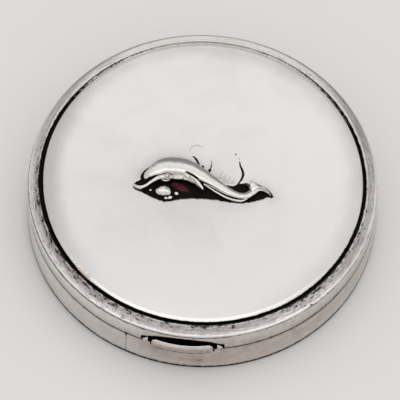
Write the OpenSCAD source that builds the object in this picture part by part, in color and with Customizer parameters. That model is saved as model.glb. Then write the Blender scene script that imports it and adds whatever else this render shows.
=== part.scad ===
// Round hinged pill box in sterling silver, 51 mm across, with a dolphin in relief on the lid.
// Millimetres. +Z is up, the box rests on z = 0, the hinge is on +Y and the catch on -Y.

/* [Case] */
// outer radius of the base and of the lid
case_r = 25.5; // [22:0.1:30]
// thickness of the side walls
wall_t = 0.75; // [0.6:0.05:1.2]
// height of the base wall
base_h = 5.68; // [5:0.02:7]
// thickness of the bottom plate
plate_t = 0.8; // [0.6:0.05:1.2]
// open line between the base and the lid
part_gap = 0.12; // [0.06:0.02:0.3]
// clearance between the collar and the inside of the lid
collar_gap = 0.15; // [0.08:0.01:0.3]
// height of the collar's top edge
collar_top = 7.2; // [6.5:0.1:7.8]

/* [Lid] */
// height of the top edge of the lid's side band
band_top = 8.85; // [8:0.05:9]
// height of the moulding's crest
crest_z = 9.92; // [9.4:0.02:10.4]
// radius of the moulding's crest
crest_r = 23.86; // [23:0.02:24.4]
// radius of the domed disc
disc_r = 23.43; // [22:0.01:23.6]
// height of the disc's edge
disc_edge_z = 9.9; // [9.5:0.05:10.4]
// height of the middle of the disc
disc_top_z = 11.0; // [10.5:0.05:12]
// thickness of the disc
disc_t = 0.65; // [0.4:0.05:1]

/* [Hinge] */
// distance of the hinge axis behind the centre
hinge_y = 25.0; // [24:0.05:26]
// outer radius of the hinge barrel
barrel_r = 0.8; // [0.6:0.02:1]
// length of the hinge barrel
barrel_len = 16.66; // [10:0.02:20]
// radius of the hinge pin
pin_r = 0.4; // [0.3:0.01:0.5]
// radial clearance of the pin in the lid's knuckles
pin_gap = 0.04; // [0.02:0.01:0.1]
// end clearance between two knuckles
knuckle_gap = 0.06; // [0.04:0.01:0.2]

/* [Catch] */
// half the width of the opening in the lid band
slot_half_w = 6.1; // [5.5:0.05:7]
// height of the middle of that opening's arched top
slot_top = 8.35; // [8:0.05:8.4]
// half the width of the press tab
tab_half_w = 4.5; // [3.5:0.05:5.5]
// how far the middle of the tab stands out of the wall
tab_out = 0.55; // [0.3:0.05:1]
// thickness of the tab
tab_t = 0.3; // [0.2:0.05:0.5]
// lower edge of the tab
tab_z0 = 5.05; // [4.5:0.05:5.4]
// upper edge of the tab
tab_z1 = 7.2; // [6.6:0.05:7.4]
// how far the tab is pressed in
tab_travel = 0.35; // [0.2:0.01:0.45]

/* [Dolphin] */
// height of the dolphin's back above the disc
dolphin_h = 1.55; // [1:0.05:2.2]

/* [Hidden] */

$fn = 128;
fine = 48;
eps = 0.01;
silver = [0.88, 0.87, 0.85];
dark_silver = [0.55, 0.53, 0.5];

inner_r = case_r - wall_t;
lid_z0 = base_h + part_gap;
hinge_z = base_h + part_gap / 2;
front_a = -90;

// collar
collar_t = 0.6;
collar_r = inner_r - collar_gap;
collar_z0 = 3.0;
collar_foot = 5.3;
collar_front_half_a = 18.6;
collar_back_half_w = 9.0;
collar_back_z = 4.4;

// hinge
knuckle_count = 5;
knuckle_pitch = barrel_len / knuckle_count;
groove_r = barrel_r + 0.15;
groove_len = barrel_len + 0.2;
fixed_bore_r = pin_r + 0.01;
running_bore_r = pin_r + pin_gap;
pin_overhang = 0.06;

// moulding
moulding_out_r = case_r - 0.08;
moulding_edge = 0.28;
ledge_r = 22.7;
ledge_z = 9.35;
ledge_t = 0.45;
groove_wall_r = 23.7;

// catch
slot_corner_r = 0.5;
slot_arc_r = 12.2;
tab_arc_r = 18;
tab_front = case_r + tab_out;
tab_arc_y = -(tab_front - tab_arc_r);
tab_corner_r = 0.75;
notch_half_w = tab_half_w + 0.12;
notch_z = tab_z0 - 0.12;
cheek_a0 = 11.25;
cheek_a1 = 13.2;
cheek_top = 6.75;
cheek_r1 = case_r + 0.06;
stem_half_w = 3.9;
stem_z0 = tab_z0 + 0.08;
stem_h = 0.55;
strip_r0 = 24.05;
strip_r1 = 24.4;
strip_half_a = 16.5;
strip_z0 = 1.6;
strip_z1 = 7.2;
tongue_half_a = 7;
tongue_top = 8.8;
nose_h = 0.25;
nose_r1 = 24.46;
keeper_r0 = 24.56;
keeper_z0 = 8.42;
keeper_h = 0.28;
keeper_half_a = 8;
guide_r0 = 23.3;
guide_lip_t = 0.3;
guide_a_lip = 15.2;
guide_a_block = 17.2;
guide_a_end = 18.3;
guide_z0 = 2.0;
guide_h = 3.0;

// the dome's sphere and its height at a distance from the centre
dome_rise = disc_top_z - disc_edge_z;
dome_r = (disc_r * disc_r + dome_rise * dome_rise) / (2 * dome_rise);
function dome_z(r) = disc_top_z - dome_r + sqrt(dome_r * dome_r - r * r);

// sector of a ring, centred on angle a
module ring_sector(r0, r1, a, half_a, z0, h) {
  rotate([0, 0, a - half_a])
    rotate_extrude(angle = 2 * half_a)
      translate([r0, z0])
        square([r1 - r0, h]);
}

module ring(r0, r1, z0, h) {
  difference() {
    translate([0, 0, z0])
      cylinder(r = r1, h = h);
    translate([0, 0, z0 - eps])
      cylinder(r = r0, h = h + 2 * eps);
  }
}

// cylinder on the hinge axis, from x0 to x1
module on_axis(r, x0, x1) {
  translate([x0, hinge_y, hinge_z])
    rotate([0, 90, 0])
      cylinder(r = r, h = x1 - x0, $fn = fine);
}

function knuckle_x(i) = (i - knuckle_count / 2) * knuckle_pitch;

// one knuckle of the barrel, counted from the left as seen from the front
module knuckle(i, bore) {
  difference() {
    on_axis(barrel_r, knuckle_x(i) + knuckle_gap / 2, knuckle_x(i + 1) - knuckle_gap / 2);
    on_axis(bore, knuckle_x(i) - eps, knuckle_x(i + 1) + eps);
  }
}

// room for the barrel in a wall: close at its own knuckles, wider at the other part's
module hinge_groove(own) {
  last = knuckle_count - 1;
  for (i = [0 : last])
    on_axis(i % 2 == own ? barrel_r : groove_r,
            i == 0 ? -groove_len / 2 : knuckle_x(i),
            i == last ? groove_len / 2 : knuckle_x(i + 1));
}

// a shape drawn as seen from the front, through the front of the case
module through_front() {
  translate([0, -inner_r + 2, 0])
    rotate([90, 0, 0])
      linear_extrude(4)
        children();
}

// outline with two round upper corners
module front_outline(half_w, z0, z1, corner) {
  polygon([
    [-half_w, z0],
    [half_w, z0],
    for (a = [0 : 15 : 90])
      [half_w - corner + corner * cos(a), z1 - corner + corner * sin(a)],
    for (a = [90 : 15 : 180])
      [-half_w + corner + corner * cos(a), z1 - corner + corner * sin(a)]
  ]);
}

// opening for the tab: upright sides, small corners and an arched top
module slot_outline() {
  x1 = slot_half_w - slot_corner_r;
  arch_z = slot_top - slot_arc_r;
  z1 = arch_z + sqrt(slot_arc_r * slot_arc_r - x1 * x1) - slot_corner_r;
  steps = 7;
  polygon([
    [-slot_half_w, 0],
    [slot_half_w, 0],
    for (a = [0 : 15 : 60])
      [x1 + slot_corner_r * cos(a), z1 + slot_corner_r * sin(a)],
    for (i = [steps - 1 : -1 : 1 - steps])
      let (x = x1 * i / steps)
      [x, arch_z + sqrt(slot_arc_r * slot_arc_r - x * x)],
    for (a = [120 : 15 : 180])
      [-x1 + slot_corner_r * cos(a), z1 + slot_corner_r * sin(a)]
  ]);
}

// ---- base ----

module base_wall() {
  color(silver)
    difference() {
      ring(inner_r, case_r, 0, base_h);
      hinge_groove(0);
      translate([-notch_half_w, -case_r - 1, notch_z])
        cube([2 * notch_half_w, 3, base_h]);
    }
}

module base_plate() {
  color(silver)
    cylinder(r = inner_r, h = plate_t);
}

module base_collar() {
  color(silver)
    difference() {
      rotate_extrude()
        polygon([
          [collar_r - collar_t, collar_z0],
          [inner_r, collar_z0],
          [inner_r, collar_foot],
          [collar_r, collar_foot],
          [collar_r, collar_top],
          [collar_r - collar_t, collar_top]
        ]);
      translate([-collar_back_half_w, 0, collar_back_z])
        cube([2 * collar_back_half_w, case_r, collar_top]);
      ring_sector(collar_r - 2, case_r, front_a, collar_front_half_a, collar_z0 - 1, collar_top);
    }
}

module base_knuckle_left() {
  color(silver)
    knuckle(0, fixed_bore_r);
}

module base_knuckle_middle() {
  color(silver)
    knuckle(2, fixed_bore_r);
}

module base_knuckle_right() {
  color(silver)
    knuckle(4, fixed_bore_r);
}

module hinge_pin() {
  color(dark_silver)
    on_axis(pin_r, -barrel_len / 2 - pin_overhang, barrel_len / 2 + pin_overhang);
}

// small raised block on the edge of the wall beside the press tab
module cheek(side) {
  color(silver)
    ring_sector(inner_r + 0.1, cheek_r1, front_a + side * (cheek_a0 + cheek_a1) / 2,
                (cheek_a1 - cheek_a0) / 2, base_h, cheek_top - base_h);
}

module catch_cheek_left() {
  cheek(-1);
}

module catch_cheek_right() {
  cheek(1);
}

// bracket that holds one end of the catch strip and leaves it room to move in
module guide(side) {
  mid_a = (guide_a_lip + guide_a_end) / 2;
  pocket_a = (guide_a_lip + guide_a_block) / 2 - 1;
  color(silver)
    difference() {
      ring_sector(guide_r0, inner_r, front_a + side * mid_a,
                  (guide_a_end - guide_a_lip) / 2, guide_z0, guide_h);
      ring_sector(guide_r0 + guide_lip_t, case_r + 1, front_a + side * pocket_a,
                  guide_a_block - pocket_a, guide_z0 - 1, guide_h + 2);
    }
}

module catch_guide_left() {
  guide(-1);
}

module catch_guide_right() {
  guide(1);
}

// ---- catch ----

// thin bowed plate with round upper corners, on a stem that passes through the wall
module press_tab() {
  color(silver)
    union() {
      intersection() {
        translate([0, tab_arc_y, 0])
          difference() {
            translate([0, 0, tab_z0])
              cylinder(r = tab_arc_r, h = tab_z1 - tab_z0);
            translate([0, 0, tab_z0 - eps])
              cylinder(r = tab_arc_r - tab_t, h = tab_z1 - tab_z0 + 2 * eps);
          }
        through_front()
          front_outline(tab_half_w, tab_z0 - 1, tab_z1, tab_corner_r);
      }
      intersection() {
        translate([-stem_half_w, -case_r - tab_out, stem_z0])
          cube([2 * stem_half_w, 3, stem_h]);
        difference() {
          translate([0, tab_arc_y, 0])
            cylinder(r = tab_arc_r - tab_t / 2, h = case_r);
          translate([0, 0, -eps])
            cylinder(r = strip_r1, h = case_r);
        }
      }
    }
}

// leaf behind the tab, with a narrower tongue at the top
module catch_strip() {
  tongue_half_w = strip_r1 * sin(tongue_half_a);
  color(silver)
    difference() {
      ring_sector(strip_r0, strip_r1, front_a, strip_half_a, strip_z0, tongue_top - strip_z0);
      for (s = [0, 1])
        mirror([s, 0, 0])
          translate([tongue_half_w, -case_r, strip_z1])
            cube([case_r, case_r, case_r]);
    }
}

module catch_nose() {
  color(silver)
    ring_sector(strip_r0 - 0.1, nose_r1, front_a, tongue_half_a - 1, tongue_top, nose_h);
}

// ---- lid ----

module lid_band() {
  color(silver)
    difference() {
      ring(inner_r, case_r, lid_z0, band_top - lid_z0);
      hinge_groove(1);
      through_front()
        slot_outline();
    }
}

// sloping ring between the band and the disc, with a rounded outer edge and crest
module lid_moulding() {
  color(silver)
    rotate_extrude()
      polygon([
        [inner_r, band_top],
        [moulding_out_r, band_top],
        [moulding_out_r, band_top + 0.1],
        for (a = [0 : 15 : 75])
          [moulding_out_r - moulding_edge + moulding_edge * cos(a),
           band_top + 0.1 + moulding_edge * 0.8 * sin(a)],
        [crest_r + 0.12, crest_z - 0.06],
        [crest_r, crest_z],
        [crest_r - 0.1, crest_z - 0.03],
        [groove_wall_r, crest_z - 0.16],
        [groove_wall_r, ledge_z],
        [ledge_r, ledge_z],
        [ledge_r, ledge_z - ledge_t],
        [inner_r - 0.15, band_top + 0.35]
      ]);
}

module lid_disc() {
  color(silver)
    rotate_extrude()
      polygon([
        [0, disc_top_z],
        for (i = [1 : 15])
          [disc_r * i / 16, dome_z(disc_r * i / 16)],
        [disc_r - 0.25, dome_z(disc_r - 0.25) - 0.01],
        [disc_r - 0.07, disc_edge_z - 0.07],
        [disc_r, disc_edge_z - 0.25],
        [disc_r, ledge_z],
        [ledge_r, ledge_z],
        for (i = [15 : -1 : 1])
          [ledge_r * i / 16, dome_z(ledge_r * i / 16) - disc_t],
        [0, disc_top_z - disc_t]
      ]);
}

module lid_knuckle_left() {
  color(silver)
    knuckle(1, running_bore_r);
}

module lid_knuckle_right() {
  color(silver)
    knuckle(3, running_bore_r);
}

module catch_keeper() {
  color(silver)
    ring_sector(keeper_r0, inner_r, front_a, keeper_half_a, keeper_z0, keeper_h);
}

// ---- dolphin ----

// stations along the dolphin's body: x, y, full width, height above the disc
body_at = [
  [-8.60, -0.90, 0.70, 0.30],
  [-7.95, -0.55, 1.75, 0.75],
  [-6.90, 0.30, 2.35, 1.07],
  [-5.65, 0.90, 2.65, 1.28],
  [-4.15, 1.05, 3.10, 1.48],
  [-2.65, 0.90, 3.10, 1.48],
  [-1.10, 0.40, 2.65, 1.32],
  [0.60, -0.40, 2.10, 1.12],
  [2.30, -1.35, 1.98, 1.08],
  [4.05, -2.40, 1.77, 0.97],
  [5.75, -2.70, 1.40, 0.80],
  [7.05, -2.05, 1.40, 0.72]
];
// the same along the jaw and the edge of the belly, from the nose to the fin
jaw_at = [
  [-10.00, -2.45, 0.25, 0.30],
  [-9.45, -2.75, 0.45, 0.45],
  [-8.80, -2.90, 0.55, 0.55],
  [-8.10, -2.60, 0.60, 0.62],
  [-7.35, -1.95, 0.65, 0.75],
  [-6.55, -1.30, 0.70, 0.90],
  [-5.80, -1.00, 0.80, 1.00],
  [-5.00, -0.95, 0.70, 0.95],
  [-3.80, -0.90, 0.55, 0.80],
  [-2.80, -0.85, 0.55, 0.80],
  [-1.80, -1.00, 0.50, 0.75]
];
sweep_steps = 3;
ring_points = 20;
sweep_sink = 0.18;
height_k = dolphin_h / 1.55;

// smooth curve through the stations
function spline(p0, p1, p2, p3, t) =
  0.5 * (2 * p1 + (p2 - p0) * t + (2 * p0 - 5 * p1 + 4 * p2 - p3) * t * t
         + (3 * p1 - p0 - 3 * p2 + p3) * t * t * t);
function station(at, u) =
  let (n = len(at) - 1, k = min(floor(u), n - 1))
  spline(at[max(k - 1, 0)], at[k], at[k + 1], at[min(k + 2, n)], u - k);
function heading(at, u) =
  let (n = len(at) - 1, a = station(at, max(u - 0.05, 0)), b = station(at, min(u + 0.05, n)))
  atan2(b[1] - a[1], b[0] - a[0]);

// one ring of points round the sweep: an oval, flatter below than above
function sweep_ring(at, u) =
  let (s = station(at, u), h = heading(at, u), z0 = dome_z(norm([s[0], s[1]])))
  [for (i = [0 : ring_points - 1])
    let (a = 360 * i / ring_points,
         side = s[2] / 2 * cos(a),
         up = sin(a) > 0 ? s[3] * height_k * sin(a) : sweep_sink * sin(a))
    [s[0] - side * sin(h), s[1] + side * cos(h), z0 + up]];

module sweep(at) {
  last = (len(at) - 1) * sweep_steps;
  pts = [for (j = [0 : last]) each sweep_ring(at, j / sweep_steps)];
  sides = [for (j = [0 : last - 1]) for (i = [0 : ring_points - 1])
    let (k = (i + 1) % ring_points)
    [j * ring_points + i, j * ring_points + k, (j + 1) * ring_points + k, (j + 1) * ring_points + i]];
  caps = [
    [for (i = [ring_points - 1 : -1 : 0]) i],
    [for (i = [0 : ring_points - 1]) last * ring_points + i]
  ];
  polyhedron(points = pts, faces = concat(sides, caps), convexity = 4);
}

module dolphin_body() {
  color(silver)
    sweep(body_at);
}

module dolphin_jaw() {
  color(silver)
    sweep(jaw_at);
}

module dolphin_fin() {
  color(silver)
    translate([0, 0, disc_top_z + 0.35])
      linear_extrude(0.8)
        polygon([[-2.65, -0.25], [-1.8, -0.45], [-0.9, -0.95], [-0.1, -1.5],
                 [0.45, -2.35], [-0.35, -2.15], [-1.1, -1.55], [-2.0, -0.9]]);
}

module dolphin_flukes() {
  color(silver)
    translate([0, 0, disc_top_z - 0.3])
      linear_extrude(1.1)
        polygon([[6.0, -0.45], [6.1, -0.2], [6.9, -0.1], [7.9, -0.4], [8.9, -0.75], [9.7, -1.15],
                 [10.2, -1.65], [9.3, -1.75], [8.45, -1.75], [7.6, -2.3], [7.0, -2.6], [6.8, -1.9],
                 [7.2, -1.1], [6.9, -0.7], [6.4, -0.65]]);
}

module dolphin_eye() {
  color(silver)
    translate([-5.25, -0.95, disc_top_z + 0.75])
      sphere(r = 0.42, $fn = fine);
}

// round drop half sunk in the disc
module drop(x, y, r) {
  translate([x, y, disc_top_z])
    sphere(r = r, $fn = fine);
}

// oval drop lying along the dolphin
module drop_large() {
  half_len = 1.12;
  half_w = 0.76;
  color(silver)
    translate([-5.42, -3.0, disc_top_z + 0.05])
      rotate([0, 90, 0])
        rotate_extrude($fn = fine)
          polygon([
            for (a = [-90 : 15 : 90])
              [half_w * cos(a), half_len * sin(a)]
          ]);
}

module drops_small() {
  color(silver)
    union() {
      drop(-3.52, -3.2, 0.36);
      drop(-4.42, -4.1, 0.28);
      drop(-5.02, -3.98, 0.25);
      drop(-7.35, -3.02, 0.25);
    }
}

base_wall();
base_plate();
base_collar();
base_knuckle_left();
base_knuckle_middle();
base_knuckle_right();
hinge_pin();
catch_cheek_left();
catch_cheek_right();
catch_guide_left();
catch_guide_right();
press_tab();
catch_strip();
catch_nose();
lid_band();
lid_moulding();
lid_disc();
lid_knuckle_left();
lid_knuckle_right();
catch_keeper();
dolphin_body();
dolphin_jaw();
dolphin_fin();
dolphin_flukes();
dolphin_eye();
drop_large();
drops_small();
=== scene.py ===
import math

import bpy
import numpy as np
from mathutils import Matrix, Vector, noise


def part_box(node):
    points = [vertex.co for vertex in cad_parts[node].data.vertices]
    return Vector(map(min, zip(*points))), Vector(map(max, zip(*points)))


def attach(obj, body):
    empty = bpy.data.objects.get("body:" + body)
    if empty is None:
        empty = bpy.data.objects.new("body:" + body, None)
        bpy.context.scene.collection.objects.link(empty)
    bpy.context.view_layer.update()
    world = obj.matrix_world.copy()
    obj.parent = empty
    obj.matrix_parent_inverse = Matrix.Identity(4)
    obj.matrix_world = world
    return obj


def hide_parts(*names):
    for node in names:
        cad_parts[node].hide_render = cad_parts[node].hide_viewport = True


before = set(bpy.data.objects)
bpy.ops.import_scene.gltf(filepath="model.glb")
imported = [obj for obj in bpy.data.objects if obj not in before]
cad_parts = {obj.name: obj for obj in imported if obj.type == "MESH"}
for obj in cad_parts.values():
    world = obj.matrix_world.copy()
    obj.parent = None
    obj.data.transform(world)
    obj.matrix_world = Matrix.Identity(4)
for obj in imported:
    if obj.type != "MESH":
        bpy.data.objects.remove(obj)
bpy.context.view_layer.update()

MM = 0.001
FRONT, BACK = -math.pi / 2, math.pi / 2


def cad(node):
    """The CAD node's lowest and highest corners in millimetres."""
    lo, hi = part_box(node)
    return np.array(lo) / MM, np.array(hi) / MM


# ---- sizes in millimetres, from the CAD ----

CASE_R = cad("base_wall")[1][0]
BASE_H = cad("base_wall")[1][2]
PLATE_R = cad("base_plate")[1][0]  # also the inner radius of the wall and the band
PLATE_T = cad("base_plate")[1][2]
BAND_Z0 = cad("lid_band")[0][2]
BAND_Z1 = cad("lid_band")[1][2]
MOULD_R = cad("lid_moulding")[1][0]
CREST_Z = cad("lid_moulding")[1][2]
LEDGE_Z = cad("lid_disc")[0][2]
DISC_R = cad("lid_disc")[1][0]
DISC_TOP = cad("lid_disc")[1][2]
DISC_EDGE = 9.9
BARREL_LO, BARREL_HI = cad("base_knuckle_left")[0], cad("base_knuckle_right")[1]
BARREL_R = (BARREL_HI[2] - BARREL_LO[2]) / 2
HINGE_Y = (BARREL_LO[1] + BARREL_HI[1]) / 2
HINGE_Z = (BARREL_LO[2] + BARREL_HI[2]) / 2
BARREL_HALF = BARREL_HI[0]
BARREL_GAP = 0.1
KNUCKLE = 2 * BARREL_HALF / 5
GROOVE_R = BARREL_R + 0.15
PIN_R = 0.4
TAB_LO, TAB_HI = cad("press_tab")
NOTCH_W = TAB_HI[0] + 0.12
NOTCH_Z = TAB_LO[2] - 0.12
SLOT_HALF = 6.1
SLOT_TOP = 8.35
SLOT_CORNER = 0.5
SLOT_ARCH_R = 12.2

RISE = DISC_TOP - DISC_EDGE
DOME_R = (DISC_R ** 2 + RISE ** 2) / (2 * RISE)


def dome_z(x, y):
    """Height of the disc's dome."""
    return DISC_TOP - DOME_R + np.sqrt(DOME_R ** 2 - x * x - y * y)


# ---- small tools ----

def fbm(points, scale, octaves=3):
    """Fixed noise at points in millimetres, about -1 to 1."""
    return np.array([noise.fractal(Vector(p) * scale, 1.0, 2.0, octaves) for p in points])


def smooth(lo, hi, v):
    """Eased step from 0 at lo to 1 at hi."""
    t = np.clip((v - lo) / (hi - lo), 0, 1)
    return t * t * (3 - 2 * t)


def cylindrical(v):
    """Bearing in degrees, radius and height of points."""
    return np.degrees(np.arctan2(v[:, 1], v[:, 0])), np.hypot(v[:, 0], v[:, 1]), v[:, 2]


def lobe(a, centre, width):
    """1 at a bearing, falling to 0 about width degrees away."""
    d = np.abs((a - centre + 180) % 360 - 180)
    return np.exp(-(d / width) ** 2)


def add_mesh(name, verts, faces, body, material, node, sharp=40, dark=0, pit=0, warm=0, haze=0):
    """One piece from points in millimetres. It rides on a body and stands for a CAD node."""
    mesh = bpy.data.meshes.new(name)
    mesh.from_pydata([tuple(v) for v in np.asarray(verts) * MM], [], faces)
    mesh.validate()
    for key, values in (("dark", dark), ("pit", pit), ("warm", warm), ("haze", haze)):
        layer = mesh.attributes.new(key, "FLOAT", "POINT")
        layer.data.foreach_set("value", np.full(len(verts), values, dtype=np.float32))
    mesh.shade_smooth()
    mesh.set_sharp_from_angle(angle=math.radians(sharp))
    mesh.materials.append(material)
    obj = bpy.data.objects.new(name, mesh)
    bpy.context.scene.collection.objects.link(obj)
    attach(obj, body)
    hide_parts(node)


def skin(loops, closed=False, flip=False):
    """Points and faces of a surface through equal loops of points, closed or with end caps."""
    rows, cols = len(loops), len(loops[0])
    faces = []
    for j in range(rows if closed else rows - 1):
        k = (j + 1) % rows
        for i in range(cols):
            n = (i + 1) % cols
            quad = (j * cols + i, k * cols + i, k * cols + n, j * cols + n)
            faces.append(quad[::-1] if flip else quad)
    if not closed:
        first = tuple(range(cols))
        last = tuple((rows - 1) * cols + i for i in range(cols))
        faces += [first[::-1], last] if flip else [first, last[::-1]]
    return np.array([p for loop in loops for p in loop], dtype=float), faces


def turned(a, loop):
    """The points of an (r, z) loop at an angle round Z."""
    return [[r * math.cos(a), r * math.sin(a), z] for r, z in loop]


CUT_GAP = 0.0006  # half the angle between the two rows of points at the side of a cut


def around(cuts=(), count=512):
    """Angles round a ring, with a close pair where a cut begins or ends."""
    a = list(np.linspace(-math.pi, math.pi, count, endpoint=False))
    for e in cuts:
        a += [e - CUT_GAP, e + CUT_GAP]
    return np.array(sorted(set(a)))


def ring_piece(name, angles, profile, body, material, node, masks, sharp=40, closed=True):
    """Sweeps a closed (r, z) profile round Z. profile(a) gives the points at angle a."""
    verts, faces = skin([turned(a, profile(a)) for a in angles], closed)
    add_mesh(name, verts, faces, body, material, node, sharp, *masks(verts))


def catmull(points, steps):
    """Smooth curve through rows of numbers."""
    p = np.asarray(points, dtype=float)
    out = []
    n = len(p) - 1
    for k in range(n):
        a, b, c, d = p[max(k - 1, 0)], p[k], p[k + 1], p[min(k + 2, n)]
        for s in range(steps):
            t = s / steps
            out.append(0.5 * (2 * b + (c - a) * t + (2 * a - 5 * b + 4 * c - d) * t * t
                              + (3 * b - a - 3 * c + d) * t ** 3))
    out.append(p[-1])
    return np.array(out)


CROWN = -0.35
SLOPE_END = 0.85


def crown_drop(c):
    """Fall of a hand-filed back below its crown, per half width; c is -1 in front, 1 behind."""
    t = c - CROWN
    if t < 0:
        return 0.36 * t * t
    return 0.18 * min(t, SLOPE_END) ** 2 + 0.306 * max(t - SLOPE_END, 0.0)


def tube(path, count=48, crowned=False):
    """Closed sweep. path rows: x, y, z, half width, height above, depth below."""
    loops = []
    for j, s in enumerate(path):
        a, b = path[max(j - 1, 0)], path[min(j + 1, len(path) - 1)]
        t = b[:3] - a[:3]
        t /= np.linalg.norm(t)
        side = np.cross([0, 0, 1.0], t)
        side /= np.linalg.norm(side)
        up = np.cross(t, side)
        loop = []
        for i in range(count):
            q = 2 * math.pi * i / count
            c, v = math.cos(q), math.sin(q)
            if crowned and v > 0:
                fall = min(s[3] / max(s[4], 0.05) * crown_drop(c), 0.6)
                v = (1 - fall) * math.sqrt(max(1 - abs(c) ** 14, 0.0))
            loop.append(s[:3] + side * s[3] * c + up * (s[4] if v > 0 else s[5]) * v)
        loops.append(loop)
    return skin(loops)


def joined(parts):
    """Several (points, faces) as one mesh's points and faces, with each part's number."""
    verts, faces, which = [], [], []
    for k, (v, f) in enumerate(parts):
        base = sum(len(x) for x in verts)
        verts.append(v)
        faces += [tuple(i + base for i in q) for q in f]
        which += [k] * len(v)
    return np.concatenate(verts), faces, np.array(which)


def line_distance(x, y, points):
    """Distance in the plane to a line through points, and how far along it, 0 to 1."""
    p = np.asarray(points, dtype=float)
    best = np.full(len(x), 1e9)
    along = np.zeros(len(x))
    for k in range(len(p) - 1):
        a, b = p[k], p[k + 1]
        d = b - a
        t = np.clip(((x - a[0]) * d[0] + (y - a[1]) * d[1]) / (d @ d), 0, 1)
        r = np.hypot(x - a[0] - t * d[0], y - a[1] - t * d[1])
        near = r < best
        best[near] = r[near]
        along[near] = (k + t[near]) / (len(p) - 1)
    return best, along


def inside(x, y, points):
    """Signed distance to a polygon's edge: positive inside."""
    p = np.asarray(points, dtype=float)
    loop = np.vstack([p, p[:1]])
    hit = np.zeros(len(x), dtype=bool)
    for a, b in zip(loop[:-1], loop[1:]):
        crosses = (a[1] > y) != (b[1] > y)
        with np.errstate(divide="ignore", invalid="ignore"):
            at = (b[0] - a[0]) * (y - a[1]) / (b[1] - a[1]) + a[0]
        hit ^= crosses & (x < at)
    r = line_distance(x, y, loop)[0]
    return np.where(hit, r, -r)


# ---- materials ----

# metres
UNROLL_R = 0.0245
LATHE_STEP = 0.00022
BUMP_DEPTH = 0.00002


class Value:
    """A shader value that takes part in sums."""

    def __init__(self, nodes, socket):
        self.nodes, self.socket = nodes, socket

    def __add__(self, other):
        return self.nodes.math("ADD", self, other)

    def __sub__(self, other):
        return self.nodes.math("SUBTRACT", self, other)

    def __mul__(self, other):
        return self.nodes.math("MULTIPLY", self, other)


class Nodes:
    """A node tree, written as expressions."""

    def __init__(self, tree):
        self.tree = tree
        tree.nodes.clear()

    def add(self, kind, **props):
        n = self.tree.nodes.new(kind)
        for k, v in props.items():
            setattr(n, k, v)
        return n

    def put(self, socket, value):
        if isinstance(value, Value):
            value = value.socket
        if isinstance(value, bpy.types.NodeSocket):
            self.tree.links.new(value, socket)
        else:
            socket.default_value = value

    def math(self, op, *args):
        n = self.add("ShaderNodeMath", operation=op)
        for i, a in enumerate(args):
            self.put(n.inputs[i], a)
        return Value(self, n.outputs[0])

    def span(self, value, lo, hi, out_lo=0.0, out_hi=1.0):
        n = self.add("ShaderNodeMapRange", interpolation_type="SMOOTHSTEP")
        for i, v in enumerate((value, lo, hi, out_lo, out_hi)):
            self.put(n.inputs[i], v)
        return Value(self, n.outputs[0])

    def split(self, vector):
        n = self.add("ShaderNodeSeparateXYZ")
        self.put(n.inputs[0], vector)
        return [Value(self, out) for out in n.outputs]


class Surface(Nodes):
    """A material with one principled shader."""

    def __init__(self, name):
        self.mat = bpy.data.materials.new(name)
        self.mat.use_nodes = True
        super().__init__(self.mat.node_tree)
        self.bsdf = self.add("ShaderNodeBsdfPrincipled")
        self.put(self.add("ShaderNodeOutputMaterial").inputs[0], self.bsdf.outputs[0])
        self.coords = self.add("ShaderNodeTexCoord").outputs["Object"]
        self.x, self.y, z = self.split(self.coords)
        self.radius = self.math("SQRT", self.math("POWER", self.x, 2.0)
                                + self.math("POWER", self.y, 2.0))
        # the case unrolled from its front: length round it, radius, height
        flat = self.add("ShaderNodeCombineXYZ")
        turn = self.math("ARCTAN2", self.x, self.y * -1.0)
        for i, v in enumerate((turn * UNROLL_R, self.radius, z)):
            self.put(flat.inputs[i], v)
        self.unrolled = flat.outputs[0]

    def set(self, name, value):
        self.put(self.bsdf.inputs[name], value)

    def scaled(self, vec, by, turn=(0, 0, 0)):
        n = self.add("ShaderNodeMapping")
        self.put(n.inputs["Vector"], vec)
        n.inputs["Scale"].default_value = by
        n.inputs["Rotation"].default_value = turn
        return n.outputs[0]

    def noise(self, scale, detail=3.0, rough=0.55, distortion=0.0, vec=None):
        n = self.add("ShaderNodeTexNoise")
        self.put(n.inputs["Vector"], vec or self.coords)
        for key, v in (("Scale", scale), ("Detail", detail), ("Roughness", rough),
                       ("Distortion", distortion)):
            n.inputs[key].default_value = v
        return Value(self, n.outputs["Fac"])

    def cells(self, scale):
        n = self.add("ShaderNodeTexVoronoi", feature="F1")
        self.put(n.inputs["Vector"], self.coords)
        n.inputs["Scale"].default_value = scale
        return Value(self, n.outputs["Distance"])

    def blend(self, fac, a, b):
        n = self.add("ShaderNodeMix", data_type="RGBA")
        for i, v in ((0, fac), (6, a), (7, b)):
            self.put(n.inputs[i], v)
        return n.outputs[2]

    def mask(self, key):
        return Value(self, self.add("ShaderNodeAttribute", attribute_name=key).outputs["Fac"])

    def bump(self, height, strength, distance):
        n = self.add("ShaderNodeBump")
        n.inputs["Strength"].default_value = strength
        n.inputs["Distance"].default_value = distance
        self.put(n.inputs["Height"], height)
        self.set("Normal", n.outputs[0])


def rgb(colour, by=(1.0, 1.0, 1.0)):
    """A colour for a socket, with each channel multiplied."""
    return (*[c * k for c, k in zip(colour, by)], 1.0)


# near-black of oxide, also used as painted shade in recesses, gaps and under forms
OXIDE_AND_SHADE = (0.009, 0.006, 0.0048)
BROWN = (0.36, 0.20, 0.10)
# painted reflection of something pink, tinting the dark ground near the dolphin round the point
# below
PINK_REFLECTION = (0.17, 0.034, 0.052)
PINK_REFLECTION_X, PINK_REFLECTION_Y = -0.0031, -0.0020  # metres


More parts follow.
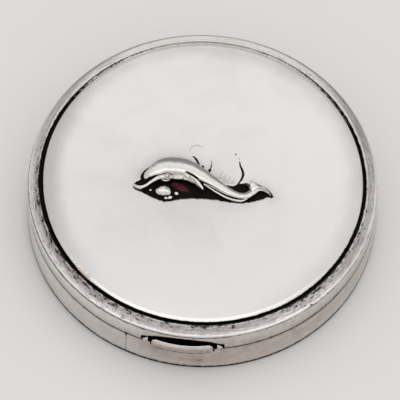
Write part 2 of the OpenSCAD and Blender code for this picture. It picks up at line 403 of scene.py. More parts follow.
def silver(name, base, rough, haze, hairs, bump, dirt, grey_film_and_shade_colour=(0.62, 0.57, 0.53), drawn=0.0,
           lathe=False, pink_reflected=False, wrap=False):
    """Worn polished silver. The masks dark, pit, warm and haze add oxide and painted shade, pits,
    brown, and grey film and painted shade.
    """
    g = Surface(name)
    co = g.scaled(g.unrolled, (0.42, 1.0, 1.0)) if wrap else g.coords
    fine = g.noise(8200.0 if wrap else 5200.0, 3.0, 0.6, vec=co)
    grain = g.noise(3600.0 if wrap else 2300.0, 4.0, 0.62, vec=co)
    cloud = g.noise(160.0, 4.0, 0.6, 0.4)
    broad = g.noise(55.0, 3.0, 0.5, 0.6)

    # hairline scratches in three directions
    hair = None
    for turn, stretch, scale, width in ((0.35, 14.0, 420.0, 0.010), (1.45, 18.0, 380.0, 0.008),
                                        (2.6, 11.0, 520.0, 0.010)):
        v = (g.scaled(g.unrolled, (1.0, 0.3, stretch), (0.0, turn, 0.0)) if wrap
             else g.scaled(g.coords, (1.0, stretch, 1.0), (0.0, 0.0, turn)))
        off = g.math("ABSOLUTE", g.noise(scale, 2.0, 0.5, vec=v) - 0.5)
        broken = g.span(g.noise(scale * 0.35, 1.0, 0.5, vec=v), 0.52, 0.66)
        line = g.span(off, 0.0, width, 1.0, 0.0) * broken
        hair = g.math("MAXIMUM", hair, line) if hair else line
    hair = hair * hairs

    # oxide and painted shade in the recesses, with a ragged edge
    dark, pitted, grey_film_and_shade_mask = g.mask("dark"), g.mask("pit"), g.mask("haze")
    ragged = dark + (grain - 0.5) * 0.7 + (fine - 0.5) * 0.25
    oxide_and_shade = g.span(ragged, 0.42, 0.72) * g.span(dark, 0.02, 0.15)

    # pits, and ragged specks drawn out round the case
    size = g.span(g.noise(700.0, 2.0, 0.5), 0.50, 0.72, 0.0, 0.34)
    pit = (g.span(g.cells(1500.0) - size, -0.10, 0.0, 1.0, 0.0)
           * g.span(pitted + (cloud - 0.5) * 0.8, 0.35, 0.75))
    specks = g.noise(2900.0, 4.0, 0.78, vec=g.scaled(g.unrolled, (0.40, 1.0, 1.0)))
    specks = g.span(specks + (pitted - 0.5) * 0.24, 0.555, 0.60) * g.span(pitted, 0.25, 0.45)
    black = g.math("MAXIMUM", oxide_and_shade, g.math("MAXIMUM", pit, specks) * 0.92)

    colour = g.blend(g.span(cloud, 0.45, 0.75) * dirt, rgb(base), rgb(base, (0.86, 0.83, 0.77)))
    colour = g.blend(g.span(broad, 0.4, 0.7) * (dirt * 0.5), colour,
                     rgb(base, (0.93, 0.925, 0.93)))
    # grey film and painted shade, mottled and streaked
    grey_film_and_shade = grey_film_and_shade_mask + (grain - 0.5) * (0.6 * drawn if wrap else 0.20) + (cloud - 0.5) * 0.35
    if drawn:
        lines = g.noise(5200.0, 4.0, 0.6, vec=g.scaled(g.unrolled, (0.07, 1.0, 1.0)))
        grey_film_and_shade = grey_film_and_shade + (lines - 0.5) * drawn
    grey_film_and_shade = g.span(grey_film_and_shade, 0.0, 1.0) * g.span(grey_film_and_shade_mask, 0.0, 0.12)
    colour = g.blend(grey_film_and_shade, colour, rgb(base, grey_film_and_shade_colour))
    warm = g.mask("warm") * g.span(grain, 0.35, 0.65)
    colour = g.blend(warm * 0.75, colour, rgb(BROWN))
    deep = rgb(OXIDE_AND_SHADE)
    # painted reflection: a pink tint laid over the dark ground of the disc
    if pink_reflected:
        x = g.x - PINK_REFLECTION_X
        lean = (g.y - PINK_REFLECTION_Y) + x * 0.35
        away = g.math("POWER", x, 2.0) + g.math("POWER", lean * 2.2, 2.0)
        pink_reflection_mask = g.span(away, 0.0, 2.6e-6, 1.0, 0.0) * g.span(grain, 0.34, 0.66, 0.30, 1.10)
        deep = g.blend(pink_reflection_mask, deep, rgb(PINK_REFLECTION))
    g.set("Base Color", g.blend(black, colour, deep))
    g.set("Metallic", g.span(black, 0.3, 1.0, 1.0, 0.85))
    g.set("Roughness", g.span(cloud, 0.35, 0.75) * haze + rough + hair * 0.12 + black * 0.42)

    height = g.noise(900.0, 3.0, 0.5) * 0.25 + fine * 0.06 - hair * 0.25 - black * 0.5
    if lathe:
        wave = g.math("SINE", g.radius * (2 * math.pi / LATHE_STEP))
        height = height + wave * g.span(g.noise(240.0, 2.0), 0.3, 0.7, 0.1, 0.5) * 0.35
    g.bump(height, bump, BUMP_DEPTH)
    return g.mat


SILVER_WALL = silver("silver_wall", (0.82, 0.79, 0.76), rough=0.20, haze=0.10, hairs=0.9,
                     bump=0.45, dirt=0.35, drawn=0.7, grey_film_and_shade_colour=(0.55, 0.49, 0.45), wrap=True)
SILVER_RING = silver("silver_ring", (0.90, 0.885, 0.87), rough=0.17, haze=0.10, hairs=0.6,
                     bump=0.45, dirt=0.30, drawn=1.5, grey_film_and_shade_colour=(0.52, 0.475, 0.47), wrap=True)
SILVER_DISC = silver("silver_disc", (0.93, 0.925, 0.915), rough=0.19, haze=0.05, hairs=0.10,
                     bump=0.07, dirt=0.06, grey_film_and_shade_colour=(0.66, 0.64, 0.635), pink_reflected=True)
SILVER_CAST = silver("silver_cast", (0.93, 0.915, 0.89), rough=0.10, haze=0.08, hairs=0.3,
                     bump=0.5, dirt=0.25)
SILVER_INNER = silver("silver_inner", (0.86, 0.835, 0.79), rough=0.24, haze=0.12, hairs=0.5,
                      bump=0.6, dirt=0.5, lathe=True)
SILVER_HINGE = silver("silver_hinge", (0.83, 0.81, 0.78), rough=0.18, haze=0.12, hairs=0.5,
                      bump=0.6, dirt=0.6)

# ---- base ----

def wall_haze(a, n):
    """The side walls are greyest in front and on the right: grey film, and painted shade for the
    darker floor they reflect there.
    """
    return np.clip(0.20 + 0.36 * lobe(a, -88, 30) + 0.34 * lobe(a, -35, 38)
                   + 0.10 * lobe(a, 90, 60) - 0.16 * lobe(a, -165, 35) + 0.15 * n, 0, 1)


def knuckle_owner(x):
    """0 where the base's knuckles are along the barrel, 1 where the lid's are, None beyond it."""
    if abs(x) > BARREL_HALF + BARREL_GAP:
        return None
    return int(np.clip(math.floor((x + BARREL_HALF) / KNUCKLE), 0, 4)) % 2


def groove_depth(a, r, own):
    """Half height of the barrel's groove at a point of the wall, or 0."""
    x, y = r * math.cos(a), r * math.sin(a)
    owner = knuckle_owner(x)
    if y < 0 or owner is None:
        return 0.0
    size = BARREL_R if owner == own and abs(x) < BARREL_HALF else GROOVE_R
    d = abs(y - HINGE_Y)
    return math.sqrt(size * size - d * d) if d < size else 0.0


hinge_angles = [math.acos(s * x / 24.8) for s in (-1, 1)
                for x in (BARREL_HALF + BARREL_GAP, BARREL_HALF, 1.5 * KNUCKLE, 0.5 * KNUCKLE)]
notch_a = math.asin(NOTCH_W / 25.1)
slot_angles = [FRONT + s * math.asin((SLOT_HALF - SLOT_CORNER * t) / r) for s in (-1, 1)
               for r in (24.8, 25.1, CASE_R) for t in (0, 0.03, 0.1, 0.22, 0.4, 0.65, 1)]
seam_a = math.radians(-109.0)


def base_top(a, r):
    """Top of the wall, cut down for the tab in front and the barrel behind."""
    if abs(a - FRONT) < notch_a:
        return NOTCH_Z
    g = groove_depth(a, r, 0)
    return min(BASE_H, HINGE_Z - g) if g else BASE_H


def base_profile(a):
    """The wall with a rounded foot and rim, and a shallow line at its soldered seam."""
    R = CASE_R - 0.05 * math.exp(-((a - seam_a) / 0.0022) ** 2)
    r0 = PLATE_R
    rim = base_top(a, R)
    return ([(r0, 0.02), (R - 0.20, 0.0), (R - 0.07, 0.03), (R - 0.015, 0.10), (R, 0.22),
             (R, 0.34), (R, 1.2), (R, 2.4), (R, 3.6), (R, min(4.7, rim - 0.2)), (R, rim - 0.09),
             (R - 0.02, rim - 0.03)]
            + [(r, base_top(a, r)) for r in (R - 0.08, R - 0.3, R - 0.5, r0 + 0.05)]
            + [(r0, base_top(a, r0) - 0.06), (r0, 3.0)])


def parted(r):
    """Oxide and painted shade in the gap between the closed lid and base: strong near the outside,
    faint further in.
    """
    return 0.30 + 0.62 * smooth(CASE_R - 0.65, CASE_R - 0.25, r)


def by_hinge(v):
    """Points near the barrel."""
    return (v[:, 1] > 20) * (np.abs(v[:, 0]) < BARREL_HALF + 0.4)


def base_masks(v):
    a, r, z = cylindrical(v)
    turn = np.radians(a)
    n = fbm(v, 0.9)
    seam = np.exp(-((turn - seam_a) / 0.0035) ** 2) * (r > CASE_R - 0.2)
    top = smooth(BASE_H - 0.13, BASE_H - 0.05, z)
    # painted shade in the gap under the tab: the top of the notch is dark
    notch = ((np.abs(turn - FRONT) < notch_a + 0.01) * smooth(NOTCH_Z - 0.15, NOTCH_Z, z)
             * (r < CASE_R - 0.05))
    hinge = by_hinge(v) * smooth(4.4, 4.9, z)
    dark = np.clip(0.70 * seam + top * parted(r) + notch + 0.8 * hinge
                   + 0.35 * (r < PLATE_R + 0.02), 0, 1)
    # painted contact shade, partly dirt: the foot of the wall is darkened here and browned in the
    # warm mask returned below
    dark = np.maximum(dark, 0.78 * smooth(0.50, 0.36, z))
    scrape = sum(k * np.exp(-((v[:, 0] - x) / w) ** 2 - ((z - h) / t) ** 2)
                 for k, x, w, h, t in ((1.0, -3.6, 1.9, 4.3, 0.6), (0.8, 2.2, 1.0, 2.6, 0.5)))
    scrape = scrape * (v[:, 1] < 0)
    pit = np.clip(0.20 + 0.30 * n + 0.2 * smooth(5.0, 5.7, z) + 0.35 * scrape, 0, 1)
    haze = np.clip(wall_haze(a, n) + 0.5 * scrape + 0.25 * smooth(4.6, 5.6, z)
                   - 0.30 * smooth(3.0, 0.8, z), 0, 1)
    return dark, pit, 0.45 * smooth(0.9, 0.3, z) + 0.10, haze


base_angles = around([FRONT - notch_a, FRONT + notch_a, seam_a - 0.003, seam_a, seam_a + 0.003]
                     + hinge_angles)
ring_piece("base_wall_turned", base_angles, base_profile, "base", SILVER_WALL, "base_wall",
           base_masks)


def fan_faces(count, rings):
    """Faces of a middle point and the rings of points round it."""
    faces = [(0, 1 + i, 1 + (i + 1) % count) for i in range(count)]
    for j in range(rings - 1):
        o = 1 + j * count
        for i in range(count):
            k = (i + 1) % count
            faces.append((o + i, o + count + i, o + count + k, o + k))
    return faces


def closed_disc(top, bottom, count):
    """A disc between two (r, z) lines from middle to rim, and how many points are on top."""
    a = np.linspace(0, 2 * math.pi, count, endpoint=False)
    sides = []
    for line in (top, bottom):
        rings = [np.stack([r * np.cos(a), r * np.sin(a), np.full(count, z)], 1)
                 for r, z in line[1:]]
        sides.append(np.concatenate([[[0.0, 0.0, line[0][1]]]] + rings))
    n = len(sides[0])
    faces = fan_faces(count, len(top) - 1)
    faces += [tuple(i + n for i in reversed(f)) for f in fan_faces(count, len(bottom) - 1)]
    o, q = n - count, n + len(sides[1]) - count
    faces += [(o + i, q + i, q + (i + 1) % count, o + (i + 1) % count) for i in range(count)]
    return np.concatenate(sides), faces, n


plate_r = np.linspace(1.5, 22.5, 15)
plate_top = ([(0, PLATE_T - 0.02)] + [(r, PLATE_T - 0.02) for r in plate_r]
             + [(PLATE_R - 0.6, PLATE_T - 0.01), (PLATE_R - 0.12, PLATE_T), (PLATE_R, PLATE_T)])
plate_bottom = ([(0, 0.06)] + [(r, 0.06 - 0.04 * (r / 22.5) ** 2) for r in plate_r]
                + [(PLATE_R - 0.5, 0.01), (PLATE_R - 0.06, 0.0), (PLATE_R, 0.03)])
v, f, _ = closed_disc(plate_top, plate_bottom, 256)
rim = smooth(PLATE_R - 0.5, PLATE_R - 0.05, np.hypot(v[:, 0], v[:, 1]))
add_mesh("base_plate_spun", v, f, "base", SILVER_INNER, "base_plate", 40,
         0.42 * rim, 0.25 + 0.35 * fbm(v, 0.5), 0.3 * rim)

COLLAR_LO, COLLAR_HI = cad("base_collar")
COLLAR_R = PLATE_R - 0.15
COLLAR_IN = COLLAR_R - 0.6
collar_front = math.radians(18.6)
collar_back = math.asin(9.0 / 24.3)


def collar_profile(a):
    """The collar is cut away in front for the catch, and its upper part behind for the hinge."""
    top = 4.4 if abs(a - BACK) < collar_back else COLLAR_HI[2]
    foot = min(5.3, top - 0.1)
    low = COLLAR_LO[2]
    return [(COLLAR_IN, low), (PLATE_R - 0.01, low), (PLATE_R - 0.01, foot),
            (COLLAR_R, foot + 0.02), (COLLAR_R, (foot + top) / 2), (COLLAR_R, top - 0.12),
            (COLLAR_R - 0.04, top - 0.03), (COLLAR_R - 0.14, top), (COLLAR_IN + 0.16, top),
            (COLLAR_IN + 0.04, top - 0.04), (COLLAR_IN, top - 0.14), (COLLAR_IN, (low + top) / 2)]


def collar_masks(v):
    n = fbm(v, 0.8)
    return 0.12 + 0.25 * n, 0.25 + 0.3 * n, 0.1 + 0.2 * n, 0.2 + 0.3 * n


collar_angles = list(np.linspace(FRONT + collar_front, FRONT + 2 * math.pi - collar_front, 420))
collar_angles += [BACK + s * collar_back + d for s in (-1, 1) for d in (-CUT_GAP, CUT_GAP)]
ring_piece("base_collar_bezel", sorted(collar_angles), collar_profile, "base", SILVER_INNER,
           "base_collar", collar_masks, closed=False)


def barrel_piece(node, bore, body):
    """A knuckle: a tube on the hinge axis with rounded ends."""
    (x0, *_), (x1, *_) = cad(node)
    e, count = 0.07, 64
    prof = [(x0, bore), (x0, BARREL_R - e), (x0 + e * 0.3, BARREL_R - e * 0.3), (x0 + e, BARREL_R),
            ((x0 + x1) / 2, BARREL_R), (x1 - e, BARREL_R), (x1 - e * 0.3, BARREL_R - e * 0.3),
            (x1, BARREL_R - e), (x1, bore)]
    v, f = skin([[[x, HINGE_Y + r * math.cos(q), HINGE_Z + r * math.sin(q)] for x, r in prof]
                 for q in (2 * math.pi * k / count for k in range(count))], closed=True)
    end = np.minimum(np.abs(v[:, 0] - x0), np.abs(v[:, 0] - x1))
    n = fbm(v, 1.5)
    dark = np.clip(0.8 * smooth(0.12, 0.0, end) + 0.15 + 0.2 * n, 0, 1)
    add_mesh(node + "_tube", v, f, body, SILVER_HINGE, node, 50, dark, 0.4 + 0.3 * n,
             0.2 + 0.2 * n)


for place in ("left", "middle", "right"):
    barrel_piece("base_knuckle_" + place, PIN_R + 0.01, "base")
for place in ("left", "right"):
    barrel_piece("lid_knuckle_" + place, PIN_R + 0.04, "lid")

pin_x0, pin_x1 = cad("hinge_pin")[0][0], cad("hinge_pin")[1][0]
pin_end = ((-0.001, 0.05), (0.0, 0.30), (0.03, 0.37), (0.1, PIN_R))
pin_path = [(pin_x0 + d, r) for d, r in pin_end] + [(0.0, PIN_R)]
pin_path += [(pin_x1 - d, r) for d, r in reversed(pin_end)]
v, f = tube(np.array([[x, HINGE_Y, HINGE_Z, r, r, r] for x, r in pin_path]), 32)
add_mesh("hinge_pin_peened", v, f, "base", SILVER_HINGE, "hinge_pin", 60, 0.3, 0.5, 0.3)

# ---- catch ----

def rounded_block(r0, r1, a, half_a, z0, z1, e, n=10):
    """A block of a ring with rounded edges."""
    ends = np.array([0, e / 50, e / 25])
    angles = np.concatenate([a - half_a + ends, np.linspace(a - half_a + e / 20,
                             a + half_a - e / 20, n), a + half_a - ends[::-1]])
    shrink = np.concatenate([[e, e * 0.3, e * 0.08], np.zeros(n), [e * 0.08, e * 0.3, e]])
    loops = []
    for q, s in zip(angles, shrink):
        m = e * 0.3 + s * 0.5
        loops.append(turned(q, [
            (r0 + s, z0 + e), (r0 + e, z0 + s), (r1 - e, z0 + s), (r1 - m, z0 + m),
            (r1 - s, z0 + e), (r1 - s, (z0 + z1) / 2), (r1 - s, z1 - e), (r1 - m, z1 - m),
            (r1 - e, z1 - s), (r0 + e, z1 - s), (r0 + m, z1 - m), (r0 + s, z1 - e)]))
    return skin(loops)


def trim_masks(v, base):
    n = fbm(v, 2.0)
    return np.clip(base + 0.25 * n, 0, 1), 0.3 + 0.3 * n, 0.15 + 0.2 * n


for side, node in ((-1, "catch_cheek_left"), (1, "catch_cheek_right")):
    lo, hi = cad(node)
    v, f = rounded_block(PLATE_R + 0.1, CASE_R + 0.06, FRONT + side * math.radians(12.225),
                         math.radians(0.975), lo[2], hi[2], 0.10, 6)
    _, out, _ = cylindrical(v)
    off = np.abs(v[:, 0])
    v[:, 2] -= 0.55 * smooth(5.05, 5.75, off) * smooth(lo[2] + 0.2, hi[2], v[:, 2])
    d, p, w = trim_masks(v, 0.1 + 0.75 * smooth(CASE_R - 0.10, CASE_R - 0.40, out))
    d = np.maximum(d, smooth(5.15, 4.98, off))
    add_mesh(node + "_filed", v, f, "base", SILVER_WALL, node, 50, d, p, w, 0.25)

for side, node in ((-1, "catch_guide_left"), (1, "catch_guide_right")):
    lo, hi = cad(node)
    v, f, _ = joined([rounded_block(r0, r1, FRONT + side * math.radians(at), math.radians(half),
                                    lo[2], hi[2], 0.05, n)
                      for r0, r1, at, half, n in ((23.3, 23.6, 16.75, 1.55, 6),
                                                  (23.55, PLATE_R - 0.01, 17.75, 0.55, 4))])
    add_mesh(node + "_bracket", v, f, "base", SILVER_INNER, node, 50, *trim_masks(v, 0.2))

# press tab: a thin bowed plate with round upper corners, on a stem
ARC_R = 18.0
ARC_Y = TAB_LO[1] + ARC_R
TAB_T = 0.3
TAB_W = TAB_HI[0]
TAB_CORNER = 0.75
TAB_SAG = 0.20


def tab_plate():
    """The plate: a thin arc seen from above, lower in its middle, with softened edges."""
    ends = np.array([-1, -0.995, -0.985])
    loops = []
    for u in np.concatenate([ends, np.linspace(-0.965, 0.965, 60), -ends[::-1]]):
        x = u * TAB_W
        q = math.asin(x / ARC_R)
        d = max(0.0, abs(x) - (TAB_W - TAB_CORNER))
        top = TAB_HI[2] - TAB_CORNER + math.sqrt(max(TAB_CORNER ** 2 - d * d, 0.0))
        top = max(top - TAB_SAG * (1 - u * u), TAB_LO[2] + 0.5)
        bot = TAB_LO[2] + 0.25 * (d / TAB_CORNER) ** 2
        e = 0.07 if abs(u) < 0.99 else 0.035
        out, back = ARC_R - (0.05 if abs(u) > 0.99 else 0.0), ARC_R - TAB_T
        loop = [(back, bot + e), (back + e, bot), (out - 0.14, bot), (out - 0.05, bot + 0.05),
                (out, bot + 0.16), (out, bot + 0.5), (out, (bot + top) / 2), (out, top - 0.32),
                (out - 0.018, top - 0.17), (out - 0.065, top - 0.06), (out - 0.14, top - 0.008),
                (back + e, top), (back, top - e), (back, (bot + top) / 2)]
        loops.append([[r * math.sin(q), ARC_Y - r * math.cos(q), z] for r, z in loop])
    return skin(loops)


STEM_W, STEM_Z0, STEM_Z1 = 3.9, TAB_LO[2] + 0.08, TAB_LO[2] + 0.63
STRIP_IN, STRIP_OUT = 24.05, 24.4
STRIP_HALF = math.radians(16.5)
STRIP_LOW = 7.2
TONGUE_HALF = math.asin(STRIP_OUT * math.sin(math.radians(7)) / 24.3)


def tab_stem():
    """A bar from the plate to the spring strip."""
    loops = []
    for x in np.linspace(-STEM_W, STEM_W, 25):
        y0 = ARC_Y - math.sqrt((ARC_R - TAB_T / 2) ** 2 - x * x)
        y1 = -math.sqrt((STRIP_OUT + 0.01) ** 2 - x * x)
        loops.append([[x, y0, STEM_Z0], [x, y1, STEM_Z0], [x, y1, STEM_Z1], [x, y0, STEM_Z1]])
    return skin(loops, flip=True)


v, f, part = joined([tab_plate(), tab_stem()])
z = v[:, 2]
n = fbm(v, 2.0)
behind = smooth(ARC_R - 0.10, ARC_R - 0.2, np.hypot(v[:, 0], v[:, 1] - ARC_Y))
tab_top = TAB_HI[2] - TAB_SAG * (1 - (v[:, 0] / TAB_W) ** 2)
# oxide and painted shade: the back of the plate and the stem, in the gap behind the tab, are dark
dark = np.clip(np.where(part == 1, 1.0, 0.9 * behind * (z < tab_top - 0.06)) + 0.1 * n, 0, 1)
# painted shade along the tab's lower edge, against the wall below
dark = np.maximum(dark, 0.85 * smooth(TAB_LO[2] + 0.42, TAB_LO[2] + 0.16, z))
face = smooth(tab_top - 0.20, tab_top - 0.55, z)
add_mesh("press_tab_bowed", v, f, "catch", SILVER_WALL, "press_tab", 45, dark, 0.25 + 0.3 * n,
         0.2 + 0.2 * n, np.clip(0.02 + face * (0.78 + 0.2 * n), 0, 1))


def strip_piece():
    """A spring strip behind the tab, with a tongue in its middle that carries the nose."""
    z0, high = cad("catch_strip")[0][2], cad("catch_strip")[1][2]
    angles = list(np.linspace(-STRIP_HALF, STRIP_HALF, 90))
    angles += [s * TONGUE_HALF + d for s in (-1, 1) for d in (-0.0005, 0.0005)]
    e = 0.06
    loops = []
    for a in sorted(angles):
        top = high if abs(a) < TONGUE_HALF else STRIP_LOW
        loops.append(turned(FRONT + a, [
            (STRIP_IN, z0 + e), (STRIP_IN + 0.05, z0), (STRIP_OUT - 0.05, z0),
            (STRIP_OUT, z0 + e), (STRIP_OUT, 4.5), (STRIP_OUT, top - e), (STRIP_OUT - 0.05, top),
            (STRIP_IN + 0.05, top), (STRIP_IN, top - e), (STRIP_IN, 4.5)]))
    return skin(loops)


v, f = strip_piece()
_, r, _ = cylindrical(v)
n = fbm(v, 1.2)
# oxide and painted shade: the strip's outer face, in the gap behind the tab, is dark
dark = np.clip(0.95 * smooth(24.2, STRIP_OUT, r) + 0.1 + 0.2 * n, 0, 1)
add_mesh("catch_strip_leaf", v, f, "catch", SILVER_INNER, "catch_strip", 45, dark,
         0.3 + 0.3 * n, 0.2 + 0.2 * n)

for name, node, body, r0, r1, half, e, n, base in (
        ("catch_nose_lip", "catch_nose", "catch", 23.95, 24.46, 6, 0.06, 24, 0.3),
        ("catch_keeper_bar", "catch_keeper", "lid", 24.56, PLATE_R - 0.005, 8, 0.05, 30, 0.5)):
    lo, hi = cad(node)
    v, f = rounded_block(r0, r1, FRONT, math.radians(half), lo[2], hi[2], e, n)
    add_mesh(name, v, f, body, SILVER_INNER, node, 50, *trim_masks(v, base))

# ---- lid ----

def slot_z(a, r):
    """Top of the arched opening for the tab at a point of the band, or 0 outside it."""
    x = abs(r * math.cos(a))
    if math.sin(a) > 0 or x > SLOT_HALF:
        return 0.0
    x1 = SLOT_HALF - SLOT_CORNER
    arch = SLOT_TOP - SLOT_ARCH_R + math.sqrt(SLOT_ARCH_R ** 2 - min(x, x1) ** 2)
    if x <= x1:
        return arch
    return arch - SLOT_CORNER + math.sqrt(SLOT_CORNER ** 2 - (x - x1) ** 2)


def band_low(a, r):
    """Bottom of the band, cut away for the tab and the barrel."""
    z = slot_z(a, r)
    if z:
        return z
    g = groove_depth(a, r, 1)
    return max(BAND_Z0, HINGE_Z + g) if g else BAND_Z0


def band_profile(a):
    """The band with softened edges."""
    R, r0 = CASE_R, PLATE_R
    t = lambda r: band_low(a, r)
    top = BAND_Z1
    mid = (max(t(R), 7.0) + top) / 2
    return [(r0, t(r0) + 0.07), (r0 + 0.05, t(r0 + 0.05)), (R - 0.5, t(R - 0.5)),
            (R - 0.3, t(R - 0.3)), (R - 0.09, t(R - 0.09)), (R - 0.025, t(R) + 0.03),
            (R, t(R) + 0.09), (R, mid), (R, top - 0.16), (R - 0.012, top - 0.06),
            (R - 0.05, top - 0.01), (R - 0.12, top), (R - 0.35, top), (r0, top),
            (r0, (t(r0) + top) / 2)]


def band_masks(v):
    a, r, z = cylindrical(v)
    n = fbm(v, 0.9)
    lip = smooth(BAND_Z1 - 0.10, BAND_Z1 - 0.03, z) * (0.55 + 0.45 * lobe(a, 180, 70))
    under = smooth(BAND_Z0 + 0.13, BAND_Z0 + 0.05, z)
    # oxide and painted shade: the faces inside the tab's slot are dark
    slot = (np.abs(v[:, 0]) < SLOT_HALF + 0.1) * (v[:, 1] < 0) * (r < CASE_R - 0.05)
    hinge = by_hinge(v) * smooth(7.3, 6.8, z) * (r < CASE_R - 0.01)
    dark = np.clip(np.maximum(lip, under * parted(r)) + slot + 0.3 * (r < PLATE_R + 0.02)
                   + 0.8 * hinge + 0.1 * n, 0, 1)
    return dark, 0.20 + 0.30 * n, 0.1 + 0.2 * n, np.clip(wall_haze(a, n) - 0.10, 0, 1)


ring_piece("lid_band_drawn", around(slot_angles + hinge_angles), band_profile, "lid",
           SILVER_WALL, "lid_band", band_masks)

CREST_R = 23.86
GROOVE_WALL = 23.70
LEDGE_R = DISC_R - 0.73
SHELF_Z = max(LEDGE_Z - 0.45, cad("catch_nose")[1][2] + 0.08)
EDGE = 0.28


def arc(r, z, ra, rb, a0, a1, n):
    """Points of an elliptical arc in (r, z), from one angle to another."""
    return [(r + ra * math.cos(q), z + rb * math.sin(q))
            for q in np.radians(np.linspace(a0, a1, n))]


def mould_profile(a):
    """The groove beside the disc is widest on the left, and its edge is a little uneven."""
    d = math.degrees(a)
    wide = 0.15 * lobe(d, -165, 60) + 0.012 * math.sin(5 * a + 1) + 0.010 * math.sin(11 * a)
    crest, wall = CREST_R + 0.6 * wide, GROOVE_WALL + wide
    z0 = BAND_Z1
    return ([(PLATE_R, z0), (MOULD_R - 0.09, z0 + 0.005), (MOULD_R - 0.035, z0 + 0.03)]
            + arc(MOULD_R - EDGE, z0 + 0.12, EDGE, EDGE * 0.8, 0, 66, 8)
            + [(MOULD_R - 0.34, z0 + 0.385), (MOULD_R - 0.62, z0 + 0.53),
               (MOULD_R - 0.95, z0 + 0.70), (MOULD_R - 1.22, z0 + 0.855),
               (crest + 0.16, CREST_Z - 0.12)]
            + arc(crest + 0.02, CREST_Z - 0.13, 0.14, 0.13, 55, 175, 9)
            + [(wall + 0.01, CREST_Z - 0.24), (wall, LEDGE_Z + 0.2), (wall - 0.02, LEDGE_Z + 0.02),
               (DISC_R + 0.04, LEDGE_Z), (LEDGE_R, LEDGE_Z), (LEDGE_R, SHELF_Z),
               (PLATE_R - 0.15, z0 + 0.32)])


BROWN_SPOT = -131  # bearing of a brown spot at the groove
# where the moulding is specked: strength, bearing, width
SPECKED = [(0.95, -158, 40), (0.92, -46, 14), (0.74, -14, 24), (0.66, -112, 20), (0.70, -78, 18)]


def groove_strength(a):
    """The groove's oxide and painted shade are heavy at the left and in front, and thin behind."""
    return np.clip(0.05 + 1.0 * lobe(a, -165, 62) + 0.95 * lobe(a, -80, 55)
                   + 0.85 * lobe(a, -15, 50) + 0.25 * lobe(a, 45, 25), 0, 1)


def mould_masks(v):
    """Oxide and painted shade spilling out of the groove, specks, and grey on the slope, greyest
    on the left and in front.
    """
    a, r, z = cylindrical(v)
    n = fbm(v, 1.1)
    left = lobe(a, -165, 50)
    reach = (CREST_R + 0.03 + 0.05 * left + 0.05 * lobe(a, -48, 20) - 0.10 * lobe(a, 90, 60))
    soft = (0.12 + 0.26 * left + 0.18 * lobe(a, -46, 22) + 0.12 * lobe(a, -85, 40)
            + 0.14 * lobe(a, -10, 40))
    inner = smooth(reach + 0.10, reach - 0.12, r)
    spread = 0.72 * np.clip(1 - (r - reach) / soft, 0, 1) ** 1.6 * (r > reach - 0.02)
    groove = np.maximum(inner, spread) * (z > LEDGE_Z - 0.05)
    foot = smooth(BAND_Z1 + 0.10, BAND_Z1 + 0.03, z) * (0.75 + 0.25 * lobe(a, 180, 70))
    spot = lobe(a, BROWN_SPOT, 3.5)
    dark = groove * (0.04 + 1.1 * groove_strength(a)) * (1 - 0.45 * spot)
    dark = np.clip(np.maximum(dark, foot), 0, 1)
    near = smooth(24.85, 23.95, r)
    patches = sum(k * lobe(a, at, width) for k, at, width in SPECKED)
    pits = (0.06 + (0.36 + 0.50 * near) * patches + 0.10 * n
            + near * (0.40 * lobe(a, 62, 22) + 0.50 * lobe(a, 131, 7)))
    slope = smooth(24.0, 24.25, r) * smooth(MOULD_R - 0.12, MOULD_R - 0.34, r)
    haze = slope * (0.30 + 0.30 * lobe(a, -95, 60) + 0.35 * lobe(a, -20, 50)
                    + 0.75 * lobe(a, -158, 45) * near - 0.26 * lobe(a, 95, 55))
    haze = np.clip(haze + 0.20 * near * (1 - lobe(a, 90, 55)) + 0.15 * n * slope, 0, 1)
    warm = spot * smooth(24.5, 24.0, r) + 0.12 * groove
    outside = ((z > LEDGE_Z - 0.01) & (r > DISC_R)) | (r > PLATE_R + 0.06)
    return (np.where(outside, dark, 0.12 + 0.15 * n),
            np.clip(np.where(outside, pits, 0.1), 0, 1),
            np.clip(warm, 0, 1),
            np.where(outside, haze, 0.35 + 0.2 * n))


ring_piece("lid_moulding_turned", around(count=900), mould_profile, "lid", SILVER_RING,
           "lid_moulding", mould_masks, 55)

# ---- disc, with the chased lines and the dark ground round the dolphin ----

BODY = [(-8.36, -1.34, 0.12, 0.12), (-8.28, -1.14, 0.66, 0.38), (-8.06, -0.76, 1.20, 0.66),
        (-7.55, -0.36, 1.60, 0.92), (-6.85, 0.14, 2.20, 1.14), (-5.65, 0.84, 2.75, 1.34),
        (-4.15, 1.02, 2.95, 1.46), (-2.65, 0.88, 2.90, 1.46), (-1.10, 0.40, 2.45, 1.30),
        (0.60, -0.40, 1.90, 1.14), (2.30, -1.33, 1.48, 1.05), (3.75, -2.10, 1.22, 0.95),
        (5.00, -2.52, 0.98, 0.86), (5.90, -2.60, 0.90, 0.80), (6.70, -2.40, 0.96, 0.76),
        (7.35, -1.84, 1.00, 0.70), (8.20, -1.04, 0.86, 0.60), (8.98, -1.02, 0.64, 0.50),
        (9.65, -1.36, 0.36, 0.34), (10.16, -1.76, 0.12, 0.15)]
